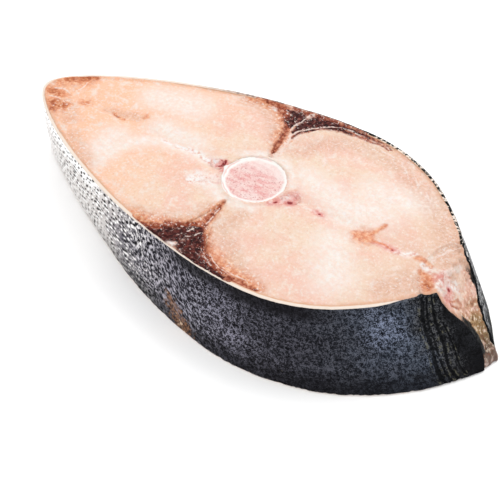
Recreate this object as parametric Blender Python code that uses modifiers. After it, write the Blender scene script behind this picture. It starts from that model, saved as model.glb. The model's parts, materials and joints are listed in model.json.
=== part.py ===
# A raw mahi-mahi steak: one skin-on slice cut across the fish.
#
# Metres, +Z up, origin at the middle of the underside. +X runs from the belly tip to the
# trimmed back fin, and -Y is the near flank. The slice lies on the cut nearer the head,
# which is the larger one, so the body narrows upwards.

import bpy
import bmesh
import math
from mathutils import Vector

# Driving dimensions of the slice.
THICKNESS = 0.0277
TOP_BELLY_X = -0.0826
TOP_LENGTH = 0.150
BASE_BELLY_X = -0.0838
BASE_LENGTH = 0.1677
SKIN = 0.0012
GAP = 0.0003
FLANK_BULGE = 0.0006

# Half widths of both cut faces at fractions of their length, from the belly tip to just
# before the fin slot, which is at 1.
STATIONS = (0.0, 0.03, 0.08, 0.16, 0.26, 0.38, 0.50, 0.62, 0.74, 0.84, 0.92, 0.96, 1.0)
TOP_HALF_WIDTHS = (
    0.0, 0.0072, 0.0130, 0.0197, 0.0262, 0.0322, 0.0361, 0.0384, 0.0376, 0.0320, 0.0228, 0.0164,
)
BASE_HALF_WIDTHS = (
    0.0, 0.0052, 0.0104, 0.0180, 0.0264, 0.0355, 0.0415, 0.0443, 0.0413, 0.0335, 0.0222, 0.0140,
)

# The fin slot at levels from 0, the underside, to 1, the upper face: how far it is open to
# either side, and how far the ridge of the back swells out past a straight line.
SLOT_LEVELS = (0.0, 0.14, 0.29, 0.43, 0.58, 0.72, 0.87, 1.0)
SLOT_HALF_WIDTHS = (0.0036, 0.0032, 0.0030, 0.0033, 0.0046, 0.0070, 0.0087, 0.0088)
RIDGE_SWELL = (0.0002, 0.0018, 0.0025, 0.0022, 0.0016, 0.0010, 0.0003, 0.0)
RIDGE_START = 0.92
BASE_LEAN = -0.0011
LEAN_START = 0.70

# The skin stops just short of both faces, so that it never meets the floor.
SKIN_BOTTOM = 0.0005
SKIN_TOP = THICKNESS - 0.0001

# Inner pieces stop this far above the floor, and the flesh alone carries the slice.
PIECE_BOTTOM = 0.0002

# How far cutters run past the slice.
CUT_BEYOND = 0.004

# Relief of the upper cut face.
DOME_HEIGHT = 0.0006
GROOVE_DEPTH = 0.0007
GROOVE_WIDTH = 0.0026
SKIN_EDGE_DROP = 0.0004

# Backbone: a disc of spongy bone in a raised ring of hard bone.
BONE_RADIUS = 0.0103
BONE_RING_WIDTH = 0.0019
BONE_RING_RISE = 0.0003
BONE_DISC_DROP = 0.0006
BONE_ROUNDING = 0.0004

# The blood vessel below the backbone and the spinal cord above it.
VESSEL_X = -0.0130
VESSEL_RADIUS = 0.0014
CORD_X = 0.0137
CORD_RADIUS = 0.0019
CANAL_Y = -0.0006
ROD_TOP = THICKNESS + 0.0001
ROD_ROUNDING = 0.0005
ROD_CROWN = 0.0001

# Dark muscle: a wedge from each flank towards the backbone along the lateral line.
LATERAL_X = -0.0018
WEDGE_REACH = 0.0235
WEDGE_TIP_HALF_WIDTH = 0.0006
WEDGE_SPREAD = 0.0039
WEDGE_TAIL = 0.0190
WEDGE_TAIL_THICKNESS = 0.0004

# Pale tissue in the slot that the trimmed fin has left.
SLOT_START = 0.985
SLOT_DEPTH_TOP = 0.0050
SLOT_DEPTH_BASE = 0.0044
SLOT_HOLLOW_TOP = 0.0008
SLOT_HOLLOW_BASE = -0.0006
SLOT_FIBRES = 5
SLOT_FIBRE_RELIEF = 0.0003

# Mesh resolution.
SLOPE_STEP = 0.002
FLANK_STEPS = 40
LEVELS = (0.0, 0.15, 0.3, 0.45, 0.6, 0.75, 0.88, 1.0)
ACROSS = (0.0, 0.09, 0.22, 0.38, 0.54, 0.70, 0.84, 0.94, 1.0)
WEDGE_STEPS = 13
WEDGE_CROWDING = 1.7
SLOT_STEPS = 16
BONE_STEPS = 48
ROD_STEPS = 20


def blend(low, high, part):
    return low + (high - low) * part


def smooth_through(xs, ys, x):
    """Read a smooth curve through the points (xs, ys), with the slopes of its neighbours."""
    last = len(xs) - 1
    cell = 0
    while cell < last - 1 and x > xs[cell + 1]:
        cell += 1
    x0, x1 = xs[cell], xs[cell + 1]
    y0, y1 = ys[cell], ys[cell + 1]
    before, after = max(cell - 1, 0), min(cell + 2, last)
    slope0 = (y1 - ys[before]) / (x1 - xs[before])
    slope1 = (ys[after] - y0) / (xs[after] - x0)
    t = (x - x0) / (x1 - x0)
    span = x1 - x0
    return (
        (2 * t**3 - 3 * t**2 + 1) * y0
        + (t**3 - 2 * t**2 + t) * span * slope0
        + (3 * t**2 - 2 * t**3) * y1
        + (t**3 - t**2) * span * slope1
    )


# Widths are read over the root of the fraction, which makes the belly tip round.
ROOTS = tuple(math.sqrt(station) for station in STATIONS)

# Where the flanks are sampled, more closely towards the slot.
FLANK_ROOTS = tuple(1 - (1 - i / FLANK_STEPS) ** 1.5 for i in range(FLANK_STEPS + 1))


def ramp(value, start):
    """Rise smoothly from 0 at start to 1 at 1."""
    part = min(max((value - start) / (1 - start), 0.0), 1.0)
    return part * part * (3 - 2 * part)


def half_width(root, level):
    """Half width of the slice at a level from 0, the underside, to 1, the upper face."""
    widths = [blend(base, top, level) for base, top in zip(BASE_HALF_WIDTHS, TOP_HALF_WIDTHS)]
    widths.append(smooth_through(SLOT_LEVELS, SLOT_HALF_WIDTHS, level))
    return smooth_through(ROOTS, widths, root)


def along(root, level):
    """X at a root of the fraction of the length."""
    base = BASE_BELLY_X + BASE_LENGTH * root**2
    top = TOP_BELLY_X + TOP_LENGTH * root**2
    swell = smooth_through(SLOT_LEVELS, RIDGE_SWELL, level) * ramp(root**2, RIDGE_START)
    return blend(base, top, level) + swell


def bulge(root, level):
    """Swelling of the flanks halfway up, which runs out towards the back."""
    return FLANK_BULGE * 4 * level * (1 - level) * (1 - ramp(root**2, LEAN_START))


def flank(root, level, inset, side):
    """Point of the outline at one side, moved inwards by inset, as (x, y)."""
    low, high = max(root - SLOPE_STEP, 0.0), min(root + SLOPE_STEP, 1.0)
    run = along(high, level) - along(low, level)
    rise = half_width(high, level) - half_width(low, level)
    if root == 0.0:
        run = 0.0
    size = math.hypot(run, rise)
    shift = inset - bulge(root, level)
    lean = BASE_LEAN * (1 - level) * ramp(root**2, LEAN_START)
    x = along(root, level) + shift * rise / size
    y = half_width(root, level) - shift * run / size
    return x, side * max(y, 0.0) + lean


def flank_at(x, level, inset):
    """Distance from the middle to the flank at X, moved inwards by inset."""
    start, length = blend(BASE_BELLY_X, TOP_BELLY_X, level), blend(BASE_LENGTH, TOP_LENGTH, level)
    root = math.sqrt(min(max((x - start) / length, 0.0), 1.0))
    return half_width(root, level) + bulge(root, level) - inset


def height(level):
    return THICKNESS * level


def stops(bottom, top):
    """Levels and heights of a piece's rings. A cutter's ends run straight on past both faces."""
    inner = [(level, height(level)) for level in LEVELS if bottom < height(level) < top]
    return [(0.0, bottom)] + inner + [(1.0, top)]


def remove_scene_objects():
    for item in list(bpy.data.objects):
        bpy.data.objects.remove(item)


def make_collection(name):
    collection = bpy.data.collections.new(name)
    bpy.context.scene.collection.children.link(collection)
    return collection


def make_material(name, colour, roughness):
    material = bpy.data.materials.new(name)
    material.use_nodes = True
    shader = material.node_tree.nodes["Principled BSDF"]
    shader.inputs["Base Color"].default_value = (*colour, 1.0)
    shader.inputs["Roughness"].default_value = roughness
    shader.inputs["Metallic"].default_value = 0.0
    material.diffuse_color = (*colour, 1.0)
    return material


def finish_mesh(name, shape, collection):
    """Weld, close and orient a bmesh, then put it in an object."""
    bmesh.ops.remove_doubles(shape, verts=shape.verts, dist=1e-6)
    bmesh.ops.recalc_face_normals(shape, faces=shape.faces)
    mesh = bpy.data.meshes.new(name)
    shape.to_mesh(mesh)
    shape.free()
    item = bpy.data.objects.new(name, mesh)
    collection.objects.link(item)
    for face in mesh.polygons:
        face.use_smooth = abs(face.normal.z) < 0.9
    return item


def add_rows(shape, rings):
    return [[shape.verts.new(point) for point in ring] for ring in rings]


def add_walls(shape, rows):
    """Quads between closed rows of vertices that all have the same number of them."""
    count = len(rows[0])
    for lower, upper in zip(rows, rows[1:]):
        for i in range(count):
            j = (i + 1) % count
            shape.faces.new((lower[i], lower[j], upper[j], upper[i]))


def loft(name, rings, collection):
    """Solid through closed rings of points, with a flat face at each end."""
    shape = bmesh.new()
    rows = add_rows(shape, rings)
    add_walls(shape, rows)
    shape.faces.new(rows[0])
    shape.faces.new(rows[-1])
    return finish_mesh(name, shape, collection)


def face_relief(x, y, share):
    """Rise of the flesh over the upper face: domed muscle blocks with grooves between them."""
    dome = DOME_HEIGHT * (1 - share**2)
    midline = GROOVE_DEPTH * math.exp(-((y / GROOVE_WIDTH) ** 2))
    lateral = GROOVE_DEPTH * math.exp(-(((x - LATERAL_X) / GROOVE_WIDTH) ** 2))
    return dome - max(midline, lateral) - SKIN_EDGE_DROP * abs(share) ** 10


def make_flesh(collection):
    """White muscle: a body between both faces, with its upper face as a grid with relief."""
    inset = SKIN + GAP
    shares = [-share for share in reversed(ACROSS[1:])] + list(ACROSS)
    columns = []
    for root in FLANK_ROOTS:
        x, reach = flank(root, 1.0, inset, 1)
        ys = [reach * share for share in shares]
        columns.append([(x, y, THICKNESS + face_relief(x, y, share)) for y, share in zip(ys, shares)])

    shape = bmesh.new()
    top = add_rows(shape, columns)
    for one, two in zip(top, top[1:]):
        for i in range(len(shares) - 1):
            shape.faces.new((one[i], two[i], two[i + 1], one[i + 1]))

    rings = []
    for level in LEVELS[:-1]:
        near = [flank(root, level, inset, -1) for root in FLANK_ROOTS]
        far = [flank(root, level, inset, 1) for root in FLANK_ROOTS]
        end_x, near_y = near[-1]
        far_y = far[-1][1]
        slot = [(end_x, blend(near_y, far_y, (share + 1) / 2)) for share in reversed(shares[1:-1])]
        rings.append([(x, y, height(level)) for x, y in list(reversed(near)) + far[1:] + slot])
    rows = add_rows(shape, rings)
    border = [row[0] for row in reversed(top)] + [row[-1] for row in top[1:]]
    rows.append(border + list(reversed(top[-1][1:-1])))
    add_walls(shape, rows)
    shape.faces.new(rows[0])
    return finish_mesh("flesh", shape, collection)


def make_skin(collection):
    """Skin round both flanks and the belly, open at the fin slot."""
    rings = []
    for level, z in stops(SKIN_BOTTOM, SKIN_TOP):
        ring = [(*flank(root, level, 0.0, -1), z) for root in reversed(FLANK_ROOTS)]
        ring += [(*flank(root, level, 0.0, 1), z) for root in FLANK_ROOTS[1:]]
        ring += [(*flank(root, level, SKIN, 1), z) for root in reversed(FLANK_ROOTS)]
        ring += [(*flank(root, level, SKIN, -1), z) for root in FLANK_ROOTS[1:]]
        rings.append(ring)
    shape = bmesh.new()
    rows = add_rows(shape, rings)
    add_walls(shape, rows)
    count = len(rows[0])
    for row in (rows[0], rows[-1]):
        for i in range(count // 2 - 1):
            shape.faces.new((row[i], row[i + 1], row[count - 2 - i], row[count - 1 - i]))
    return finish_mesh("skin", shape, collection)


def wedge_ring(side, level, z, grow):
    """Outline of the dark muscle at one flank. Its depth falls off on both sides of a blunt tip."""
    size = blend(1.1, 1.0, level)
    skin_side = -CUT_BEYOND if grow else SKIN + GAP
    outer, inner = [], []
    for i in range(-WEDGE_STEPS, WEDGE_STEPS + 1):
        away = WEDGE_TAIL * size * abs(i / WEDGE_STEPS) ** WEDGE_CROWDING
        beyond = max(away - WEDGE_TIP_HALF_WIDTH, 0.0) / (WEDGE_SPREAD * size)
        depth = SKIN + GAP + WEDGE_TAIL_THICKNESS + WEDGE_REACH * math.exp(-beyond) + grow
        x = LATERAL_X + math.copysign(away + grow, i) if i else LATERAL_X
        outer.append((x, side * flank_at(x, level, skin_side), z))
        inner.append((x, side * flank_at(x, level, depth), z))
    return outer + list(reversed(inner))


def make_wedge(name, side, grow, collection):
    beyond = CUT_BEYOND if grow else -PIECE_BOTTOM
    rings = [wedge_ring(side, level, z, grow) for level, z in stops(-beyond, THICKNESS + beyond)]
    return loft(name, rings, collection)


def slot_ring(level, z, grow):
    """Outline of the tissue in the fin slot: an arc into the flesh and a fibrous face outside."""
    start = math.sqrt(SLOT_START) - grow / TOP_LENGTH
    depth = blend(SLOT_DEPTH_BASE, SLOT_DEPTH_TOP, level) + grow
    edge = -CUT_BEYOND if grow else SKIN + GAP
    roots = [root for root in reversed(FLANK_ROOTS) if root > start]
    if grow:
        roots.append(start)
    near_x, near_y = flank(start, level, SKIN + GAP, -1)
    far_y = flank(start, level, SKIN + GAP, 1)[1]
    ring = [(*flank(root, level, edge, -1), z) for root in roots]
    for i in range(SLOT_STEPS + 1):
        turn = math.pi * i / SLOT_STEPS
        y = blend(near_y, far_y, (1 - math.cos(turn)) / 2)
        ring.append((near_x - depth * math.sin(turn), y, z))
    ring += [(*flank(root, level, edge, 1), z) for root in reversed(roots)]
    end_x, end_near = flank(1.0, level, edge, -1)
    end_far = flank(1.0, level, edge, 1)[1]
    hollow = blend(SLOT_HOLLOW_BASE, SLOT_HOLLOW_TOP, level)
    for i in range(1, SLOT_STEPS):
        share = i / SLOT_STEPS
        if grow:
            x = end_x + CUT_BEYOND
        else:
            fibre = SLOT_FIBRE_RELIEF * level * math.cos(2 * math.pi * SLOT_FIBRES * share)
            x = end_x + (fibre - hollow) * math.sin(math.pi * share)
        ring.append((x, blend(end_far, end_near, share), z))
    return ring


def make_slot_tissue(name, grow, collection):
    beyond = CUT_BEYOND if grow else -PIECE_BOTTOM
    rings = [slot_ring(level, z, grow) for level, z in stops(-beyond, THICKNESS + beyond)]
    return loft(name, rings, collection)


def make_turned(name, profile, steps, centre, collection):
    """Turn a profile of (radius, z) that starts and ends on the axis."""
    mesh = bpy.data.meshes.new(name)
    points = [(radius, 0.0, z) for radius, z in profile]
    edges = [(i, i + 1) for i in range(len(points) - 1)]
    mesh.from_pydata(points, edges, [])
    item = bpy.data.objects.new(name, mesh)
    collection.objects.link(item)
    item.location = centre
    screw = item.modifiers.new("turn", "SCREW")
    screw.steps = steps
    screw.render_steps = steps
    screw.use_merge_vertices = True
    screw.merge_threshold = 0.00001
    screw.use_smooth_shade = True
    return item


def make_backbone(collection):
    ring_inner = BONE_RADIUS - BONE_RING_WIDTH
    disc_edge = ring_inner * 0.93
    ring_middle = ring_inner + BONE_RING_WIDTH * 0.4
    disc_top, disc_bottom = THICKNESS - BONE_DISC_DROP, PIECE_BOTTOM + BONE_DISC_DROP
    profile = (
        (0.0, disc_top),
        (disc_edge, disc_top),
        (ring_inner, THICKNESS),
        (ring_middle, THICKNESS + BONE_RING_RISE),
        (BONE_RADIUS - BONE_ROUNDING, THICKNESS + BONE_RING_RISE / 2),
        (BONE_RADIUS, THICKNESS - BONE_ROUNDING),
        (BONE_RADIUS, PIECE_BOTTOM + BONE_ROUNDING),
        (BONE_RADIUS - BONE_ROUNDING, PIECE_BOTTOM),
        (ring_inner, PIECE_BOTTOM),
        (disc_edge, disc_bottom),
        (0.0, disc_bottom),
    )
    return make_turned("backbone", profile, BONE_STEPS, (0.0, 0.0, 0.0), collection)


def make_rod(name, x, radius, collection):
    """A soft rod through the slice, with softly rounded ends."""
    profile = (
        (0.0, ROD_TOP),
        (radius - ROD_ROUNDING, ROD_TOP - ROD_CROWN),
        (radius, ROD_TOP - ROD_ROUNDING),
        (radius, PIECE_BOTTOM + ROD_ROUNDING),
        (radius - ROD_ROUNDING, PIECE_BOTTOM),
        (0.0, PIECE_BOTTOM),
    )
    return make_turned(name, profile, ROD_STEPS, (x, CANAL_Y, 0.0), collection)


def make_bore_cutter(name, x, y, radius, steps, collection):
    """A cutter that leaves the gap round a rod."""
    depth = THICKNESS + 2 * CUT_BEYOND
    bpy.ops.mesh.primitive_cylinder_add(
        vertices=steps, radius=radius + GAP, depth=depth, location=(x, y, THICKNESS / 2)
    )
    item = bpy.context.active_object
    item.name = name
    for owner in list(item.users_collection):
        owner.objects.unlink(item)
    collection.objects.link(item)
    return item


def cut(item, cutters):
    for cutter in cutters:
        boolean = item.modifiers.new("cut " + cutter.name, "BOOLEAN")
        boolean.operation = "DIFFERENCE"
        boolean.solver = "EXACT"
        boolean.object = cutter
        cutter.hide_render = True
        cutter.display_type = "WIRE"


def dress(item, colour, roughness):
    item.data.materials.clear()
    item.data.materials.append(make_material(item.name, colour, roughness))


def build():
    remove_scene_objects()
    steak = make_collection("mahi_mahi_steak")
    cutters = make_collection("cutters")

    flesh = make_flesh(steak)
    skin = make_skin(steak)
    backbone = make_backbone(steak)
    cord = make_rod("spinal_cord", CORD_X, CORD_RADIUS, steak)
    vessel = make_rod("blood_vessel", VESSEL_X, VESSEL_RADIUS, steak)
    near_wedge = make_wedge("dark_muscle_near", -1, 0.0, steak)
    far_wedge = make_wedge("dark_muscle_far", 1, 0.0, steak)
    tissue = make_slot_tissue("fin_slot_tissue", 0.0, steak)

    cut(
        flesh,
        (
            make_bore_cutter("cut_backbone", 0.0, 0.0, BONE_RADIUS, BONE_STEPS, cutters),
            make_bore_cutter("cut_cord", CORD_X, CANAL_Y, CORD_RADIUS, ROD_STEPS, cutters),
            make_bore_cutter("cut_vessel", VESSEL_X, CANAL_Y, VESSEL_RADIUS, ROD_STEPS, cutters),
            make_wedge("cut_wedge_near", -1, GAP, cutters),
            make_wedge("cut_wedge_far", 1, GAP, cutters),
            make_slot_tissue("cut_slot", GAP, cutters),
        ),
    )

    dress(flesh, (0.86, 0.60, 0.46), 0.35)
    dress(skin, (0.060, 0.066, 0.082), 0.35)
    dress(backbone, (0.84, 0.50, 0.47), 0.45)
    dress(cord, (0.72, 0.22, 0.20), 0.35)
    dress(vessel, (0.60, 0.12, 0.11), 0.35)
    dress(near_wedge, (0.16, 0.042, 0.032), 0.35)
    dress(far_wedge, (0.16, 0.042, 0.032), 0.35)
    dress(tissue, (0.78, 0.49, 0.39), 0.45)


build()
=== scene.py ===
# %% [markdown]
# A raw mahi-mahi steak lies on its larger cut face on a white table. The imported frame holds
# its eight solids: flesh, skin, backbone, spinal cord, blood vessel, two wedges of dark
# muscle and the tissue in the fin slot. They are plain and exact. This lesson gives each of
# them a finer piece of the same form, and a wet, living coat.

# %% Load the frame
import json
import math

import bmesh
import bpy
import numpy as np
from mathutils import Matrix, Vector, noise
from mathutils.bvhtree import BVHTree

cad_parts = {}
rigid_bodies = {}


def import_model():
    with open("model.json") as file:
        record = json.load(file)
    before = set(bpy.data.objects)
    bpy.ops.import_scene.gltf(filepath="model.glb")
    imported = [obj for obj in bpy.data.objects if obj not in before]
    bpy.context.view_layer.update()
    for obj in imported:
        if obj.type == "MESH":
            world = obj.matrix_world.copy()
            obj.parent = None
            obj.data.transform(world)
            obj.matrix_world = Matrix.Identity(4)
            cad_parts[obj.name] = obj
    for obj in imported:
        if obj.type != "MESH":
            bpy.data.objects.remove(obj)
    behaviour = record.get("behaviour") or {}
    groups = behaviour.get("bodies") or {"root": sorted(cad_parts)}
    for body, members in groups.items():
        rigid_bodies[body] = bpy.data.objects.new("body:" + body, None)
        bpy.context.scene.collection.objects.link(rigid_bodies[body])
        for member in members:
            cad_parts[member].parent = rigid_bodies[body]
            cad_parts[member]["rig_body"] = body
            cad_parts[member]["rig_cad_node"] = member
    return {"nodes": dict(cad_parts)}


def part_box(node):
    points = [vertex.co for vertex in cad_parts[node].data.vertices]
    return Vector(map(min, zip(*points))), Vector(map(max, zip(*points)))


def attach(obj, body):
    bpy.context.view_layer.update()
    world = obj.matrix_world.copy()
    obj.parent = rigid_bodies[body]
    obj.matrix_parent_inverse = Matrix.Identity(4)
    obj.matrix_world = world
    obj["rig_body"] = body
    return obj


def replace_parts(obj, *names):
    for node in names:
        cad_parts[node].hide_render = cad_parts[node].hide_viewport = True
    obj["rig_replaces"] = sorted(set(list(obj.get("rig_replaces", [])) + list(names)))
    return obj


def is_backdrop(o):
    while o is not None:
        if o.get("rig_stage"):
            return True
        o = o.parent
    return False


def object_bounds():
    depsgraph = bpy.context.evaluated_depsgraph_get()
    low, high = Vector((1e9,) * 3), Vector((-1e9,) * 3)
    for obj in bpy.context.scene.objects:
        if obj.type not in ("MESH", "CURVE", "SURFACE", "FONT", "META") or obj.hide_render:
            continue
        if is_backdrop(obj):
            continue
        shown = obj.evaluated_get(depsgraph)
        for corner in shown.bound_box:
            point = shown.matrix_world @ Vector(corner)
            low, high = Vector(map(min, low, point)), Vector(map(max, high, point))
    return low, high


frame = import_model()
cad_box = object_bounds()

MM = 0.001
THICKNESS = 27.7 * MM
THICKNESS_MM = THICKNESS / MM
print("nodes:", ", ".join(sorted(frame["nodes"])))

# %% [markdown]
# The camera stands where the photographer stood: in front of the near flank, a little to
# the right, and high enough to look down on the upper cut face. A lens of 85 mm is what a
# food photographer would choose, because it keeps the slice from looking stretched.

# %% Camera
CAMERA_PLACE = Vector((0.145669, -0.214762, 0.275857))
CAMERA_TARGET = Vector((0.001232, -0.003429, 0.0))
LENS = 85
SENSOR = 36

camera = bpy.data.objects.new("camera", bpy.data.cameras.new("camera"))
bpy.context.scene.collection.objects.link(camera)
camera.data.lens = LENS
camera.data.sensor_width = SENSOR
camera.data.clip_start = 0.01
camera.location = CAMERA_PLACE
camera.rotation_euler = (CAMERA_TARGET - CAMERA_PLACE).to_track_quat("-Z", "Y").to_euler()
bpy.context.scene.camera = camera
print("camera distance in mm:", round((CAMERA_TARGET - CAMERA_PLACE).length / MM))

# %% [markdown]
# The table is plain white and so large that its edge never shows. The light is a studio's:
# white all round, one big soft lamp behind the slice on the right, which puts wet glints on
# the flesh, and a weaker one at the front so that the dark skin doesn't sink into black.

# %% Table and light
FLOOR_SIZE = 4.0
WORLD_LIGHT = 1.13
LAMPS = {
    "lamp_back": dict(place=(0.08, 0.55, 0.80), size=0.60, watts=4.6),
    "lamp_front": dict(place=(-0.45, -0.55, 0.45), size=0.60, watts=1.2),
}

bpy.ops.object.select_all(action="DESELECT")
bpy.ops.mesh.primitive_plane_add(size=FLOOR_SIZE, location=(0, 0, 0))
table = bpy.context.object
table.name = "table"
table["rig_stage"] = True

world = bpy.data.worlds.new("studio")
world.use_nodes = True
world.node_tree.nodes["Background"].inputs["Color"].default_value = (1, 1, 1, 1)
world.node_tree.nodes["Background"].inputs["Strength"].default_value = WORLD_LIGHT
bpy.context.scene.world = world

for name, lamp in LAMPS.items():
    light = bpy.data.objects.new(name, bpy.data.lights.new(name, "AREA"))
    bpy.context.scene.collection.objects.link(light)
    light.data.size = lamp["size"]
    light.data.energy = lamp["watts"]
    light.location = lamp["place"]
    light.rotation_euler = (-Vector(lamp["place"])).to_track_quat("-Z", "Y").to_euler()
bpy.context.scene.view_settings.view_transform = "Standard"
print("lamps:", ", ".join(LAMPS))

# %% [markdown]
# Every finish here is a small tree of nodes. Wiring one socket at a time takes many lines,
# so a helper holds the material under construction and adds a node with its wires and
# options in one call. Distances in the materials are millimetres, as on a ruler, so the
# helper scales the Object coordinates once and all patterns read those. As a painter does, it
# lays one colour over the other. How much of a colour shows is often a soft edge, which is
# written as a value with the two places where the colour starts and is full.

# %% Helper for finishes
CUT_LIGHT = 1.55
WALL_LIGHT = 1.20
SLOT_LIGHT = 1.30


def paint(code, light=CUT_LIGHT):
    """Paint that shows as a colour code such as F9DCC8 on a face that gets this much light."""
    shares = [int(code[i:i + 2], 16) / 255 for i in (0, 2, 4)]
    seen = [s / 12.92 if s < 0.04045 else ((s + 0.055) / 1.055) ** 2.4 for s in shares]
    return (*(value / light for value in seen), 1.0)


class Finish:
    """A material under construction. Wires are sockets, plain values or colour codes."""

    def __init__(self, name, light=CUT_LIGHT):
        self.light = light
        self.colour = None
        self.material = bpy.data.materials.new(name)
        self.material.use_nodes = True
        self.tree = self.material.node_tree
        self.shader = self.tree.nodes["Principled BSDF"]
        place = self.add("TexCoord").outputs["Object"]
        self.place = self.vector("SCALE", place, scale=1 / MM)
        self.x, self.y, self.z = self.add("SeparateXYZ", {0: self.place}).outputs

    def add(self, kind, wires=None, **options):
        made = self.tree.nodes.new("ShaderNode" + kind)
        for key, value in options.items():
            setattr(made, key, value)
        for socket, source in (wires or {}).items():
            self.wire(made.inputs[socket], source)
        return made

    def wire(self, socket, source):
        if isinstance(source, bpy.types.NodeSocket):
            self.tree.links.new(source, socket)
        elif isinstance(source, str):
            socket.default_value = paint(source, self.light)
        else:
            socket.default_value = source

    def vector(self, operation, first, second=None, scale=None):
        wires = {0: first}
        if second is not None:
            wires[1] = second
        if scale is not None:
            wires["Scale"] = scale
        node = self.add("VectorMath", wires, operation=operation)
        return node.outputs["Value" if operation == "DISTANCE" else "Vector"]

    def math(self, operation, first, second=0.0, third=0.0):
        wires = {0: first, 1: second, 2: third}
        return self.add("Math", wires, operation=operation).outputs[0]

    def times(self, first, *others):
        for other in others:
            first = self.math("MULTIPLY", first, other)
        return first

    def plus(self, first, second):
        return self.math("ADD", first, second)

    def minus(self, first, second):
        return self.math("SUBTRACT", first, second)

    def larger(self, first, second):
        return self.math("MAXIMUM", first, second)

    def times_plus(self, first, second, third):
        """The first times the second, plus the third."""
        return self.math("MULTIPLY_ADD", first, second, third)

    def sway(self, noise, reach):
        """Noise turned into a number that swings by reach to both sides of zero."""
        return self.times_plus(noise, 2 * reach, -reach)

    def ragged(self, value, noise, reach):
        """A value that noise moves by reach to both sides, which gives its edges a torn look."""
        return self.plus(value, self.sway(noise, reach))

    def noise(self, size, detail=2.0, roughness=0.5, place=None):
        """Noise from 0 to 1 whose spots are about size millimetres across."""
        wires = {"Vector": place or self.place, "Scale": 1 / size,
                 "Detail": detail, "Roughness": roughness}
        return self.add("TexNoise", wires, normalize=True).outputs[0]

    def fade(self, value, start, end):
        """0 at start and 1 at end, smooth in between. Start may be the larger one."""
        wires = {"Value": value, "From Min": start, "From Max": end}
        return self.add("MapRange", wires, interpolation_type="SMOOTHSTEP").outputs[0]

    def where(self, *bands):
        """1 where every one of some fades, each a value with its start and end, is 1."""
        return self.times(*(self.fade(*band) for band in bands))

    def stretched(self, size, stretch, turn=(0, 0, 0), detail=2.0):
        """Noise drawn out along one axis, as fibres are."""
        node = self.add("Mapping", {"Vector": self.place, "Rotation": turn, "Scale": stretch})
        return self.noise(size, detail, place=node.outputs[0])

    def mixed(self, share, first, second, most=1.0):
        """First colour where share is 0, and as much as most of the second where it is 1."""
        if isinstance(share, tuple):
            share = self.fade(*share)
        if most < 1.0:
            share = self.times(share, most)
        node = self.add("Mix", {"Factor": share}, data_type="RGBA")
        self.wire(node.inputs[6], first)
        self.wire(node.inputs[7], second)
        return node.outputs[2]

    def lay(self, share, colour, most=1.0):
        """Lay one more colour over the colour so far."""
        self.colour = self.mixed(share, self.colour, colour, most)

    def ramp(self, value, stops, light=None, span=1.0):
        """Colour codes along a value. Their positions run from 0 to span."""
        node = self.add("ValToRGB", {0: value})
        marks = node.color_ramp.elements
        while len(marks) < len(stops):
            marks.new(0.5)
        for mark, (position, code) in zip(marks, stops):
            mark.position = position / span
            mark.color = paint(code, light or self.light)
        return node.outputs[0]

    def read(self, name):
        """An attribute that is stored on the mesh."""
        return self.add("Attribute", attribute_name=name).outputs["Fac"]

    def bump(self, height, depth, below=None):
        """Small relief, depth millimetres deep."""
        wires = {"Height": height, "Distance": depth * MM, "Strength": 1.0}
        if below is not None:
            wires["Normal"] = below
        return self.add("Bump", wires).outputs[0]

    def close(self, colour, roughness, normal=None, **plain):
        """Wire the shader. Plain sockets, such as IOR, get one value all over."""
        self.wire(self.shader.inputs["Base Color"], colour)
        self.wire(self.shader.inputs["Roughness"], roughness)
        if normal is not None:
            self.wire(self.shader.inputs["Normal"], normal)
        for name, value in plain.items():
            self.shader.inputs[name.replace("_", " ")].default_value = value
        return self.material


coat = Finish("table_white")
board = coat.mixed(coat.noise(9.0), (0.96, 0.96, 0.96, 1), (0.98, 0.98, 0.98, 1))
table.data.materials.append(coat.close(board, 0.9))
print("finishes:", len(bpy.data.materials))

# %% [markdown]
# The CAD nodes have the right form in large facets. A sculptor would remesh such a piece into
# small even squares and then press the detail in, and these helpers do that: a copy of a
# node, a voxel remesh with a light smoothing, and Displace modifiers that a vertex group
# keeps to one place. What is pressed below the table is flattened again.

# %% Helpers for pieces


def only(piece):
    """Select one object and nothing else."""
    bpy.ops.object.select_all(action="DESELECT")
    piece.select_set(True)
    bpy.context.view_layer.objects.active = piece


def copy_of(node, name):
    """A copy of a CAD node as a piece of its own, with its loose triangles merged."""
    only(frame["nodes"][node])
    bpy.ops.object.duplicate()
    piece = bpy.context.object
    piece.name = name
    piece.parent = None
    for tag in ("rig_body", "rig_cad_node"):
        del piece[tag]
    piece.data.materials.clear()
    bpy.ops.object.mode_set(mode="EDIT")
    bpy.ops.mesh.select_all(action="SELECT")
    bpy.ops.mesh.remove_doubles(threshold=0.002 * MM)
    bpy.ops.object.mode_set(mode="OBJECT")
    return piece


def modify(piece, kind, **options):
    """Add a modifier and apply it."""
    only(piece)
    modifier = piece.modifiers.new(kind.lower(), kind)
    for key, value in options.items():
        setattr(modifier, key, value)
    bpy.ops.object.modifier_apply(modifier=modifier.name)


def finer(piece, voxel):
    """Rebuild a piece from small even squares. Their size is in millimetres."""
    modify(piece, "REMESH", mode="VOXEL", voxel_size=voxel * MM)
    modify(piece, "SMOOTH", factor=0.5, iterations=2)


def places(piece):
    """Vertex positions in millimetres, one row each."""
    flat = np.zeros(len(piece.data.vertices) * 3, np.float32)
    piece.data.vertices.foreach_get("co", flat)
    return flat.reshape(-1, 3).astype(float) / MM


def store(piece, name, values):
    """Store one number per vertex for the materials and modifiers to read."""
    layer = piece.data.attributes.new(name, "FLOAT", "POINT")
    layer.data.foreach_set("value", np.asarray(values, np.float32))


def stored(piece, name):
    """Read back one number per vertex."""
    values = np.zeros(len(piece.data.vertices), np.float32)
    piece.data.attributes[name].data.foreach_get("value", values)
    return values


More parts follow.
